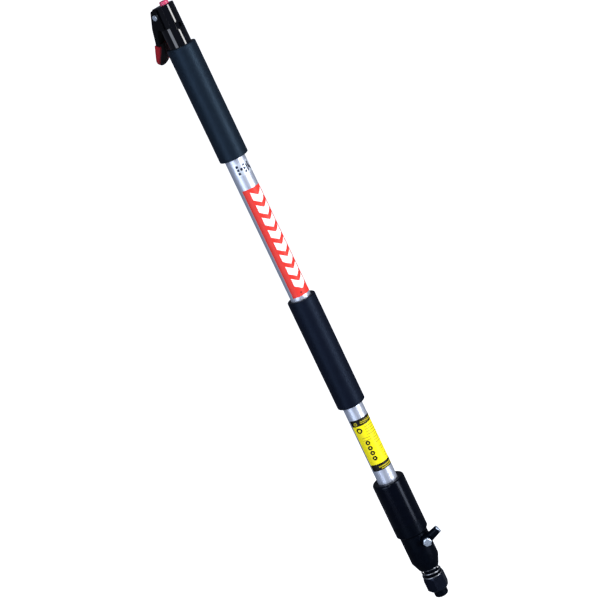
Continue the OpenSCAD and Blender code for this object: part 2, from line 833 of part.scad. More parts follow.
module exhaust_deflector() {
    clear_r = pad_r + free_gap;
    color("#191b21") on_bolt() difference() {
        union() {
            translate([0, 0, eye_z]) cylinder(d = eye_d, h = eye_t);
            rotate([0, 0, spout_tilt]) translate([0, 0, spout_z]) rotate([0, 90, 0])
                cylinder(d1 = spout_root_d, r2 = spout_end_r, h = spout_len - 1);
        }
        // faces of the eye, towards the barrel and towards the bolt's head
        translate([0, 0, eye_z - 20]) cylinder(r = clear_r, h = 20);
        translate([0, 0, eye_z + eye_t]) cylinder(r = clear_r, h = 20);
        // bolt hole with the air way round it, and the way out through the spout
        translate([0, 0, eye_z - 1]) cylinder(r = bolt_d / 2 + run_gap, h = eye_t + 2);
        translate([0, 0, eye_z + 2]) ring(bolt_d / 2 + 2, 1, 0, eye_t - 4);
        rotate([0, 0, spout_tilt]) translate([bolt_d / 2, 0, spout_z]) rotate([0, 90, 0])
            cylinder(r = spout_in_r, h = 60);
    }
}

module exhaust_screen() {
    color("#c9ced6") on_bolt() rotate([0, 0, spout_tilt])
    translate([spout_len - 1, 0, spout_z]) rotate([0, 90, 0]) difference() {
        union() {
            translate([0, 0, -6]) cylinder(r = spout_in_r, h = 7);
            rotate_extrude() lathe_cap(spout_end_r, screen_t, 1.4);
        }
        translate([0, 0, -7]) cylinder(r = spout_in_r - 1.2, h = 12);
    }
}

module exhaust_bolt() {
    seat = eye_z + eye_t + 0.1 + washer_t;
    color("#c3cedb") on_bolt() difference() {
        union() {
            translate([0, 0, bolt_hole_end + 0.5])
                cylinder(d = bolt_d, h = seat - bolt_hole_end - 0.5);
            intersection() {
                translate([0, 0, seat]) cylinder(d = bolt_af / cos(30), h = bolt_head_t, $fn = 6);
                translate([0, 0, seat]) union() {
                    cylinder(d = bolt_af / cos(30) + 1, h = bolt_head_t - 1.6);
                    translate([0, 0, bolt_head_t - 1.6])
                        cylinder(d1 = bolt_af / cos(30) + 1, d2 = bolt_af - 1.5, h = 1.6);
                }
            }
        }
        translate([0, 0, bolt_hole_end - 1]) cylinder(d = port_d, h = spout_z + 2 - bolt_hole_end);
        for (turn = [0, 90]) rotate([0, 0, turn]) translate([-bolt_d, 0, spout_z])
            rotate([0, 90, 0]) cylinder(d = 3.2, h = 2 * bolt_d);
    }
}

module exhaust_washer() {
    color("#aab4c2") on_bolt() translate([0, 0, eye_z + eye_t + 0.1]) difference() {
        cylinder(d = bolt_af + 3.6, h = washer_t);
        translate([0, 0, -1]) cylinder(d = bolt_d, h = washer_t + 2);
    }
}

throttle_body();
throttle_lever();
lever_sleeve();
lever_pivot_pin();
pivot_ring();
push_pin();
push_pin_o_ring();
throttle_valve();
valve_spring();
valve_cap_plug();
cap_o_ring();
inlet_screen();
inlet_plug();
tube_set_screw();
head_o_ring();
handle_tube();
upper_grip();
lower_grip();
data_plate();
front_label();
yellow_label();
coupling_collar();
tube_o_ring();
valve_cover();
valve_disc();
valve_block();
valve_dowel();
hammer_barrel();
hammer_nose();
piston();
chisel_bushing();
retaining_balls();
retainer_sleeve();
retainer_spring();
snap_ring();
exhaust_deflector();
exhaust_screen();
exhaust_bolt();
exhaust_washer();
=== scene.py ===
"""Looks of a long-reach air chisel scaler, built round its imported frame.

All lengths are metres in the frame's own axes: +Z runs up the tool from the chisel socket's mouth
to the throttle head, the lever is on the +Y side and the labels are on the -Y side.
"""

import json
import logging
import math
from dataclasses import dataclass
from enum import Enum
from typing import Any, Callable, Iterable, Optional, Sequence, Union

import bpy
from mathutils import Matrix, Vector

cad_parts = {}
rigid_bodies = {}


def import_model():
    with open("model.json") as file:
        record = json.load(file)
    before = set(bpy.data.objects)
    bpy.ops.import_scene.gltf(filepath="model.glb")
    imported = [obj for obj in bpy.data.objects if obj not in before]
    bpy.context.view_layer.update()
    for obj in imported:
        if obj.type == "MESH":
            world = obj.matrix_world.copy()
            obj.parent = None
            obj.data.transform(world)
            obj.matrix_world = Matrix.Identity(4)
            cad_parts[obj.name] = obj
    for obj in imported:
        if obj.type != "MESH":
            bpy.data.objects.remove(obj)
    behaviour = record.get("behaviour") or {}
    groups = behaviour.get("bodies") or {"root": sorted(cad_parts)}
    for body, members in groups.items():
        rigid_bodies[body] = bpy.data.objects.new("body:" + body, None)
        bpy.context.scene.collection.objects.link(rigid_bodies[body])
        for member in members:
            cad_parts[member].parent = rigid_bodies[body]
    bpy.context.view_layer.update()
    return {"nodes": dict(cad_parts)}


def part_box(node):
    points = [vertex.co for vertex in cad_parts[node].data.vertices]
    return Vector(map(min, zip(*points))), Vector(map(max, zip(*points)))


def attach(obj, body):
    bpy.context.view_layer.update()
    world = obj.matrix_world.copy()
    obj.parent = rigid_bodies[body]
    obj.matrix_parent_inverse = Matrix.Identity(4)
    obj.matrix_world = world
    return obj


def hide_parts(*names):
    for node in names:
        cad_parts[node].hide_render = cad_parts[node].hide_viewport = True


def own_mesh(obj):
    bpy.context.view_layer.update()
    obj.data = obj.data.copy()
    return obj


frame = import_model()

MM = 0.001
BODY = "tool_body"
log = logging.getLogger("scaler")

Socket = bpy.types.NodeSocket
Value = Union[float, Sequence[float], Socket]


# ---- Colours and shader nodes ----

def linear(code: str) -> tuple[float, float, float, float]:
    """Turns an sRGB hex colour into linear RGBA.

    Args:
        code: The colour as six hex digits.

    Returns:
        Red, green, blue and an alpha of 1.
    """
    channels = [int(code[i:i + 2], 16) / 255 for i in (0, 2, 4)]
    red, green, blue = (c / 12.92 if c <= 0.04045 else ((c + 0.055) / 1.055) ** 2.4 for c in channels)
    return red, green, blue, 1.0


def add(tree: bpy.types.NodeTree, kind: str, inputs: Iterable[Optional[Value]] = (),
        out: Union[int, str] = 0, **settings: Any) -> Socket:
    """Adds one node to a tree.

    Args:
        tree: The tree that the node goes into.
        kind: The node's type, without its ShaderNode prefix.
        inputs: A value or a socket for each input in order, or None to leave it; or a dict by name.
        out: The output to hand back, by place or by name.
        settings: The node's own settings.

    Returns:
        The chosen output socket.
    """
    node = tree.nodes.new("ShaderNode" + kind)
    for name, value in settings.items():
        setattr(node, name, value)
    pairs = inputs.items() if isinstance(inputs, dict) else enumerate(inputs)
    for key, value in pairs:
        if value is None:
            continue
        if isinstance(value, bpy.types.NodeSocket):
            tree.links.new(value, node.inputs[key])
        else:
            node.inputs[key].default_value = value
    return node.outputs[out]


def place(tree: bpy.types.NodeTree, scale: Sequence[float] = (1, 1, 1)) -> Socket:
    """Gives the surface's own coordinates, stretched by a scale on each axis."""
    own = add(tree, "TexCoord", out="Object")
    return add(tree, "Mapping", {"Vector": own, "Scale": scale})


def grain(tree: bpy.types.NodeTree, size: float, stretch: Sequence[float] = (1, 1, 1),
          detail: float = 3.0) -> Socket:
    """Gives a noise whose grains measure the given size.

    Args:
        tree: The material's tree.
        size: Size of one grain, in metres.
        stretch: How much shorter a grain is along each axis; under 1 draws it out.
        detail: The noise's levels of detail.

    Returns:
        The noise's value, from 0 to 1.
    """
    where = place(tree, stretch)
    return add(tree, "TexNoise", {"Vector": where, "Scale": 1 / size, "Detail": detail}, out=0)


def spread(tree: bpy.types.NodeTree, value: Socket, low: float, high: float) -> Socket:
    """Spreads a value of about 0.3 to 0.7 over the range from low to high."""
    return add(tree, "MapRange", (value, 0.3, 0.7, low, high))


def bump(tree: bpy.types.NodeTree, height: Socket, depth: float, strength: float = 1.0) -> Socket:
    """Turns a height from 0 to 1 into a normal, for a relief of the given depth in metres."""
    return add(tree, "Bump", {"Strength": strength, "Distance": depth, "Height": height})


def blend_colour(tree: bpy.types.NodeTree, mask: Value, low: Value, high: Value) -> Socket:
    """Gives low where the mask is 0 and high where it is 1."""
    return add(tree, "Mix", {0: mask, 6: low, 7: high}, out=2, data_type="RGBA")


# ---- Finishes ----

@dataclass(frozen=True)
class Finish:
    """One material: a base colour and the way its surface was made.

    Attributes:
        name: What the material is.
        colour: Its sRGB colour.
        metallic: 1 for a bare metal.
        roughness: The surface's mean roughness.
        ior: Index of refraction, for what isn't a metal.
        mottle: How far the colour varies, as a share.
        mottle_size: Size of the colour's patches, in metres.
        relief: Depth of the surface's fine relief, in metres.
        relief_size: Size of that relief's grains, in metres.
        stretch: How much shorter the grains are along each axis.
        rough_swing: How far the roughness varies to each side.
        tint: sRGB colour of what isn't a metal's reflections.
    """

    name: str
    colour: str
    metallic: float = 0.0
    roughness: float = 0.4
    ior: float = 1.5
    mottle: float = 0.08
    mottle_size: float = 0.012
    relief: float = 0.0
    relief_size: float = 0.0008
    stretch: tuple[float, float, float] = (1.0, 1.0, 1.0)
    rough_swing: float = 0.05
    tint: str = "FFFFFF"

    def base(self, tree: bpy.types.NodeTree) -> Socket:
        """Gives the base colour, mottled a little."""
        low = [c * (1 - self.mottle) for c in linear(self.colour)[:3]] + [1.0]
        high = [min(1.0, c * (1 + self.mottle)) for c in linear(self.colour)[:3]] + [1.0]
        patches = add(tree, "MapRange", (grain(tree, self.mottle_size, self.stretch), 0.3, 0.7))
        return blend_colour(tree, patches, low, high)

    def extra(self, tree: bpy.types.NodeTree, shader: bpy.types.Node) -> None:
        """Adds what only this finish has; a plain one has nothing more."""

    def build(self) -> bpy.types.Material:
        """Makes the material.

        Returns:
            The material, or the one made before under this name.
        """
        known = bpy.data.materials.get(self.name)
        if known:
            return known
        material = bpy.data.materials.new(self.name)
        material.use_nodes = True
        tree = material.node_tree
        shader = tree.nodes["Principled BSDF"]
        shader.inputs["Metallic"].default_value = self.metallic
        if not self.metallic:
            shader.inputs["IOR"].default_value = self.ior
            shader.inputs["Specular Tint"].default_value = linear(self.tint)
        tree.links.new(self.base(tree), shader.inputs["Base Color"])
        fine = grain(tree, self.relief_size, self.stretch)
        rough = spread(tree, fine, self.roughness - self.rough_swing, self.roughness + self.rough_swing)
        tree.links.new(rough, shader.inputs["Roughness"])
        if self.relief:
            tree.links.new(bump(tree, fine, self.relief), shader.inputs["Normal"])
        self.extra(tree, shader)
        return material


@dataclass(frozen=True)
class CoatedFinish(Finish):
    """A finish under a clear, even film, such as gloss anodising or a dip of vinyl.

    Attributes:
        coat: Weight of the film.
        coat_roughness: Its roughness.
    """

    coat: float = 0.5
    coat_roughness: float = 0.05

    def extra(self, tree: bpy.types.NodeTree, shader: bpy.types.Node) -> None:
        """Adds the film."""
        shader.inputs["Coat Weight"].default_value = self.coat
        shader.inputs["Coat Roughness"].default_value = self.coat_roughness


@dataclass(frozen=True)
class VinylFinish(CoatedFinish):
    """Vinyl dipped over a black lever, with painted shade that makes it nearly black inside the lever's
    channel.

    Attributes:
        inside: sRGB colour of the painted shade inside the channel.
        lean: Lean of the released lever, in degrees.
        pivot: The lever's pivot in Y and Z, in metres.
        depth: Distance of the channel's floor from the pivot, away from the tool, in metres.
        half: Half the channel's width inside, in metres.
    """

    inside: str = "12070A"
    lean: float = 28.5
    pivot: tuple[float, float] = (0.009, 1.196)
    depth: float = 0.0086
    half: float = 0.0108

    def base(self, tree: bpy.types.NodeTree) -> Socket:
        """Paints shade inside the channel by darkening the colour there, with a soft edge."""
        own = add(tree, "TexCoord", out="Object")
        x, y, z = (add(tree, "SeparateXYZ", (own,), out=i) for i in range(3))
        lean = math.radians(self.lean)
        offset = self.pivot[0] * math.cos(lean) + self.pivot[1] * math.sin(lean)
        along = add(tree, "Math", (z, math.sin(lean), -offset), operation="MULTIPLY_ADD")
        away = add(tree, "Math", (y, math.cos(lean), along), operation="MULTIPLY_ADD")
        side = add(tree, "Math", (x,), operation="ABSOLUTE")
        # The mask covers the channel's floor and walls, where the painted shade goes.
        floor = add(tree, "MapRange", (away, self.depth - 0.0006, self.depth + 0.0004, 1.0, 0.0))
        walls = add(tree, "MapRange", (side, self.half - 0.0006, self.half + 0.0004, 1.0, 0.0))
        mask = add(tree, "Math", (floor, walls), operation="MULTIPLY")
        return blend_colour(tree, mask, super().base(tree), linear(self.inside))


@dataclass(frozen=True)
class FoamFinish(Finish):
    """Closed-cell foam: matte skin with open pores and a soft sheen.

    Attributes:
        pore_size: Distance between pores, in metres, drawn coarser than the real 0.3 mm so it shows.
        skin_size: Size of the skin's shallow waves, in metres.
        depth: Depth of the pores, in metres.
        sheen: Weight of the soft sheen at grazing angles.
        sheen_colour: The sheen's sRGB colour.
    """

    pore_size: float = 0.0011
    skin_size: float = 0.006
    depth: float = 0.00012
    sheen: float = 0.05
    sheen_colour: str = "5A6E82"

    def extra(self, tree: bpy.types.NodeTree, shader: bpy.types.Node) -> None:
        """Adds the pores and the sheen."""
        cells = add(tree, "TexVoronoi", {"Vector": place(tree), "Scale": 1 / self.pore_size})
        dent = add(tree, "MapRange", (cells, 0.0, 0.45))
        skin = grain(tree, self.skin_size)
        waves = add(tree, "Math", (skin, 1.5), operation="MULTIPLY")
        height = add(tree, "Math", (dent, waves), operation="ADD")
        tree.links.new(bump(tree, height, self.depth), shader.inputs["Normal"])
        shader.inputs["Sheen Weight"].default_value = self.sheen
        shader.inputs["Sheen Roughness"].default_value = 0.4
        shader.inputs["Sheen Tint"].default_value = linear(self.sheen_colour)


@dataclass(frozen=True)
class ClearPlastic(Finish):
    """Moulded plastic that lets some light through.

    Attributes:
        clearness: Share of the light that passes through it.
    """

    clearness: float = 0.3

    def extra(self, tree: bpy.types.NodeTree, shader: bpy.types.Node) -> None:
        """Adds the light that passes through and the glow under the skin."""
        shader.inputs["Transmission Weight"].default_value = self.clearness
        shader.inputs["Subsurface Weight"].default_value = 0.3
        shader.inputs["Subsurface Radius"].default_value = (0.004, 0.001, 0.001)
        shader.inputs["Subsurface Scale"].default_value = 1.0


class Print:
    """Masks on a label that is wrapped round the tube, in millimetres along its arc and its height."""

    def __init__(self, tree: bpy.types.NodeTree, node: str, radius: float, clock: float = 0.0) -> None:
        """Finds the label's own coordinates.

        Args:
            tree: The material's tree.
            node: The label's CAD node; heights are measured up from its lower edge.
            radius: The label's radius, in millimetres.
            clock: The label's middle, in degrees from -Y towards +X.
        """
        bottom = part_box(node)[0].z
        self.tree = tree
        own = add(tree, "TexCoord", out="Object")
        x, y, z = (add(tree, "SeparateXYZ", (own,), out=i) for i in range(3))
        front = add(tree, "Math", (y, -1.0), operation="MULTIPLY")
        turn = add(tree, "Math", (x, front), operation="ARCTAN2")
        middle = add(tree, "Math", (turn, math.radians(clock)), operation="SUBTRACT")
        self.across = add(tree, "Math", (middle, radius), operation="MULTIPLY")
        height = add(tree, "Math", (z, bottom), operation="SUBTRACT")
        self.up = add(tree, "Math", (height, 1000.0), operation="MULTIPLY")

    def near(self, value: Value, middle: float, half: float) -> Socket:
        """Gives 1 where a value is within half of the middle."""
        return add(self.tree, "Math", (value, middle, half), operation="COMPARE")

    def every(self, masks: Sequence[Socket]) -> Socket:
        """Gives 1 where every mask is 1."""
        result = masks[0]
        for mask in masks[1:]:
            result = add(self.tree, "Math", (result, mask), operation="MULTIPLY")
        return result

    def any(self, masks: Sequence[Socket]) -> Socket:
        """Gives 1 where one of the masks is 1."""
        result = masks[0]
        for mask in masks[1:]:
            result = add(self.tree, "Math", (result, mask), operation="MAXIMUM")
        return result

    def bar(self, left: float, right: float, low: float, high: float) -> Socket:
        """Gives an upright rectangle."""
        return self.every([
            self.near(self.across, (left + right) / 2, (right - left) / 2),
            self.near(self.up, (low + high) / 2, (high - low) / 2),
        ])

    def ring(self, across: float, up: float, outer: float, inner: float) -> Socket:
        """Gives a ring round a point, between two radii."""
        side = add(self.tree, "Math", (self.across, across), operation="SUBTRACT")
        rise = add(self.tree, "Math", (self.up, up), operation="SUBTRACT")
        squares = add(self.tree, "Math", (side, side), operation="MULTIPLY")
        squared = add(self.tree, "Math", (rise, rise, squares), operation="MULTIPLY_ADD")
        distance = add(self.tree, "Math", (squared,), operation="SQRT")
        return self.near(distance, (outer + inner) / 2, (outer - inner) / 2)

    def chevron(self, across: float, up: float, width: float, thick: float, slope: float) -> Socket:
        """Gives a bent band that points down the tool.

        Args:
            across: Place of the band's point along the arc.
            up: Height of the band's middle, at its point.
            width: Width across.
            thick: Thickness of the band along the tool.
            slope: Rise of the arms for each millimetre across.

        Returns:
            The mask.
        """
        side = add(self.tree, "Math", (self.across, across), operation="SUBTRACT")
        arm = add(self.tree, "Math", (side,), operation="ABSOLUTE")
        line = add(self.tree, "Math", (arm, -slope, self.up), operation="MULTIPLY_ADD")
        return self.every([self.near(line, up, thick / 2), self.near(side, 0.0, width / 2)])

    def slats(self, pitch: float, share: float, lean: float = 0.0) -> Socket:
        """Gives repeated bars along the height, leaning by a slope."""
        line = add(self.tree, "Math", (self.across, lean, self.up), operation="MULTIPLY_ADD")
        phase = add(self.tree, "Math", (line, pitch), operation="DIVIDE")
        part = add(self.tree, "Math", (phase,), operation="FRACT")
        return add(self.tree, "Math", (part, share), operation="LESS_THAN")


@dataclass(frozen=True)
class LabelFinish(Finish):
    """A printed film with a gloss laminate over it.

    Attributes:
        node: The label's CAD node.
        radius: The label's radius, in millimetres.
        clock: The label's middle, in degrees from -Y towards +X.
        artwork: Gives the pairs of mask and sRGB colour that are printed, in order.
    """

    node: str = "front_label"
    radius: float = 19.25
    clock: float = 0.0
    artwork: Optional[Callable[[Print], Sequence[tuple[Socket, str]]]] = None

    def base(self, tree: bpy.types.NodeTree) -> Socket:
        """Prints the artwork on the film's own colour."""
        colour = super().base(tree)
        for mask, ink in self.artwork(Print(tree, self.node, self.radius, self.clock)):
            colour = blend_colour(tree, mask, colour, linear(ink))
        return colour


def red_artwork(art: Print) -> Sequence[tuple[Socket, str]]:
    """Draws a row of plain white chevrons and a dark dot on the red label."""
    middle, low, pitch = -2.6, 19.0, 24.6
    shapes = [art.chevron(middle, low + pitch * k, 26.0, 15.0, 0.75) for k in range(8)]
    return [(art.any(shapes), "EDEDEA"), (art.ring(-9.0, 6.0, 1.8, 0.0), "7C1A20")]


def yellow_artwork(art: Print) -> Sequence[tuple[Socket, str]]:
    """Draws black end bands, plain rings and thin plain lines on the yellow label."""
    ink, pale, soft = "0C0B06", "B3A41C", "B8AA1A"
    bands = art.any([art.bar(-40, 40, 94.5, 110), art.bar(-40, 40, -1, 13.2)])
    marks = art.any([
        art.every([art.bar(-15, 26, 97.5, 103), art.slats(4.6, 0.55, 1.1)]),
        art.ring(-24.5, 99.6, 3.4, 1.7),
        art.bar(-18, 30, 5.8, 8.2),
        art.bar(-14, 30, 1.9, 4.0),
    ])
    rings = [art.ring(-22.5, 85.5, 5.6, 2.7)]
    rings += [art.ring(-17.5, 58.5 - 10.8 * k, 4.5, 1.5) for k in range(4)]
    lines = art.every([art.slats(5.2, 0.3, 0.05), art.any([
        art.bar(-12, 24, 70, 92), art.bar(-24, -8, 60, 72), art.bar(-4, 22, 50, 69),
        art.bar(0, 25, 32, 46), art.bar(3, 20, 16, 29),
    ])])
    return [(lines, pale), (art.any(rings), ink), (bands, ink), (art.every([bands, marks]), soft)]


def plate_artwork(art: Print) -> Sequence[tuple[Socket, str]]:
    """Draws plain dark blocks and bars on the small data plate."""
    blocks = [art.bar(-14.5 + 6.4 * i, -10.1 + 6.4 * i, 3.0 + 6.4 * j, 7.6 + 6.4 * j)
              for i in range(3) for j in range(3) if (i + 2 * j) % 4 != 1]
    blocks += [art.bar(4.6, 7.2, 4, 17), art.bar(8.2, 11.8, 8, 20), art.bar(12.6, 16, 5, 12)]
    return [(art.any(blocks), "14203A")]


# Gloss black anodised aluminium: a hard, even skin, so strips of light stay sharp on it.
GLOSS_BLACK = Finish("gloss_black_anodised_aluminium", "030409", roughness=0.06, ior=1.6, mottle=0.1,
                     relief_size=0.006, rough_swing=0.02)
# Satin black anodised aluminium, turned: a softer band of light that is a little bluer.
SATIN_BLACK = Finish("satin_black_anodised_aluminium", "04060E", roughness=0.2, ior=1.27, mottle=0.15,
                     relief=0.000002, relief_size=0.002, stretch=(0.3, 0.3, 2.0), tint="C4D2F0")
# Black phosphated steel: a fine crystalline coat, nearly matte, blue-black where oil is left.
PHOSPHATE = Finish("black_phosphated_steel", "03050B", roughness=0.36, ior=1.22, mottle=0.3,
                   mottle_size=0.009, relief=0.00001, relief_size=0.0008, rough_swing=0.08, tint="A9BEE6")
# Black oxide on machined steel: thin, so that facets catch a dull blue light.
BLACK_OXIDE = Finish("black_oxide_steel", "161D2E", metallic=0.8, roughness=0.3, mottle=0.2,
                     relief=0.000006, relief_size=0.0007, rough_swing=0.07)
# Black stoved paint on pressed sheet: smooth with a slight orange peel.
LEVER_PAINT = CoatedFinish("black_stoved_paint", "030408", roughness=0.4, ior=1.25, coat=0.1,
                           coat_roughness=0.12, relief=0.00001, relief_size=0.0025)
# Red dipped vinyl: soft gloss, slightly wavy where it ran, with painted shade inside the lever's channel.
DIPPED_VINYL = VinylFinish("red_dipped_vinyl", "8A0F1C", roughness=0.38, ior=1.4, coat=0.25,
                           coat_roughness=0.2, mottle=0.12, relief=0.00004, relief_size=0.005)
# Bright zinc plate under a clear blue passivation: the film scatters part of the light, so that
# reflections are cloudy.
ZINC_PLATE = Finish("zinc_plated_steel", "C6D4E6", metallic=0.75, roughness=0.3, mottle=0.25,
                    mottle_size=0.003, relief=0.00002, relief_size=0.0018, rough_swing=0.09)
# Ground steel: fine marks round the part.
GROUND_STEEL = Finish("ground_steel", "AEB4BD", metallic=1.0, roughness=0.28, relief=0.000003,
                      relief_size=0.0005, stretch=(0.3, 0.3, 2.0))
# Turned steel of the valve chest.
TURNED_STEEL = Finish("turned_steel", "9AA0A8", metallic=1.0, roughness=0.34, relief=0.000004,
                      relief_size=0.0006, stretch=(0.3, 0.3, 2.0))
# Oil-tempered spring wire: dark, with a bright line of light along each turn.
SPRING_WIRE = Finish("oil_tempered_spring_wire", "868A92", metallic=1.0, roughness=0.36, mottle=0.15,
                     relief_size=0.0015, rough_swing=0.06)
# Turned brass.
BRASS = Finish("turned_brass", "C9A15A", metallic=1.0, roughness=0.25, relief_size=0.0008)
# Nitrile rubber.
SEAL_RUBBER = Finish("nitrile_rubber", "0B0B0C", roughness=0.6, relief=0.00001, relief_size=0.0006)
# Pink moulded polyethylene cap: waxy, lets some light through.
PINK_POLYTHENE = ClearPlastic("pink_polythene", "E4527C", roughness=0.3, ior=1.51, mottle=0.05,
                              relief=0.00001, relief_size=0.003)
# Extruded aluminium tube, clear anodised: fine die lines along its whole length under a film that
# scatters part of the light, so it isn't a pure mirror.
EXTRUDED_ALUMINIUM = Finish("extruded_aluminium", "C8D0E2", metallic=0.72, roughness=0.42, mottle=0.03,
                            mottle_size=0.003, relief=0.000002, relief_size=0.0006,
                            stretch=(1.0, 1.0, 0.02), rough_swing=0.03)
# Closed-cell foam, the upper grip's slate black and the lower grip's blue-black.
UPPER_FOAM = FoamFinish("slate_closed_cell_foam", "0E1620", roughness=0.44, ior=1.42, mottle=0.12,
                        tint="86A9CC")
LOWER_FOAM = FoamFinish("blue_black_closed_cell_foam", "090D19", roughness=0.46, ior=1.34, mottle=0.12,
                        tint="86A2CC", sheen=0.03, sheen_colour="3A4A5C")
RED_FILM = LabelFinish("red_printed_film", "DA352D", roughness=0.45, ior=1.3, mottle=0.02,
                       node="front_label", artwork=red_artwork)
YELLOW_FILM = LabelFinish("yellow_printed_film", "EBDD12", roughness=0.48, ior=1.3, mottle=0.02,
                          node="yellow_label", artwork=yellow_artwork)
PLATE_FILM = LabelFinish("silver_printed_foil", "D5DEEC", metallic=0.55, roughness=0.4, mottle=0.02,
                         node="data_plate", clock=-15.0, artwork=plate_artwork)


# ---- Modelling helpers ----

class Element(Enum):
    """What a selection in edit mode is made of."""

    FACE = "FACE"
    EDGE = "EDGE"


def only(piece: bpy.types.Object) -> bpy.types.Object:
    """Selects one object and makes it the active one."""
    for other in bpy.context.view_layer.objects:
        other.select_set(False)
    piece.select_set(True)
    bpy.context.view_layer.objects.active = piece
    return piece


def settle(piece: bpy.types.Object, name: str, body: str, finish: Finish,
           smooth: float = 35.0) -> bpy.types.Object:
    """Names a piece, puts its place in its mesh, smooths it, dresses it and makes it ride.

    Args:
        piece: The piece.
        name: Its name.
        body: The body that it moves with.
        finish: Its finish.
        smooth: Edges sharper than this many degrees stay sharp.

    Returns:
        The piece.
    """
    only(piece)
    bpy.ops.object.transform_apply(location=True, rotation=True, scale=True)
    bpy.ops.object.shade_smooth_by_angle(angle=math.radians(smooth))
    piece.name = name
    piece.data.name = name
    piece.data.materials.clear()
    piece.data.materials.append(finish.build())
    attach(piece, body)
    log.info("%s: %d faces", name, len(piece.data.polygons))
    return piece


def pick(piece: bpy.types.Object, kind: Element, chosen: Callable[[Any], bool]) -> None:
    """Selects a mesh's faces or edges by a rule, in edit mode.

    Args:
        piece: The active piece, in edit mode.
        kind: What is selected.
        chosen: Says whether one of them is wanted.
    """
    bpy.ops.mesh.select_mode(type=kind.value)
    bpy.ops.mesh.select_all(action="DESELECT")
    bpy.ops.object.mode_set(mode="OBJECT")
    mesh = piece.data
    parts = {Element.FACE: mesh.polygons, Element.EDGE: mesh.edges}[kind]
    for part in parts:
        part.select = bool(chosen(part))
    bpy.ops.object.mode_set(mode="EDIT")


def modify(piece: bpy.types.Object, kind: str, **settings: Any) -> None:
    """Adds a modifier with its settings and applies it."""
    only(piece)
    modifier = piece.modifiers.new(kind.lower(), kind)
    for name, value in settings.items():
        setattr(modifier, name, value)
    bpy.ops.object.modifier_apply(modifier=modifier.name)


def dress(finish: Finish, *nodes: str) -> None:
    """Gives CAD nodes a finish in their own slots."""
    material = finish.build()
    for name in nodes:
        node = frame["nodes"][name]
        for slot in node.material_slots:
            slot.material = material
        if not node.material_slots:
            node.data.materials.append(material)


def soften(node: str, name: str, finish: Finish, radius: float, segments: int = 2,
           body: str = BODY, merge: bool = True) -> bpy.types.Object:
    """Stands a copy with broken edges in for a CAD node that was modelled with sharp ones.

    Args:
        node: The CAD node.
        name: The new piece's name.
        finish: Its finish.
        radius: Radius of the broken edges, in metres.
        segments: Facets across an edge.
        body: The body that it moves with.
        merge: Whether triangles on one flat become one face first.

    Returns:
        The new piece.
    """
    source = frame["nodes"][node]
    piece = bpy.data.objects.new(name, source.data.copy())
    bpy.context.scene.collection.objects.link(piece)
    only(piece)
    bpy.ops.object.mode_set(mode="EDIT")
    bpy.ops.mesh.customdata_custom_splitnormals_clear()
    bpy.ops.mesh.select_all(action="SELECT")
    bpy.ops.mesh.remove_doubles(threshold=0.00001)
    if merge:
        bpy.ops.mesh.dissolve_limited(angle_limit=math.radians(1.0))
    bpy.ops.object.mode_set(mode="OBJECT")
    modify(piece, "BEVEL", width=radius, segments=segments, limit_method="ANGLE",
           angle_limit=math.radians(32), use_clamp_overlap=True, miter_outer="MITER_ARC",
           harden_normals=False)
    settle(piece, name, body, finish, smooth=40.0)
    modify(piece, "WEIGHTED_NORMAL", weight=50, keep_sharp=True)
    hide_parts(node)
    return piece


# ---- Sub-assemblies ----

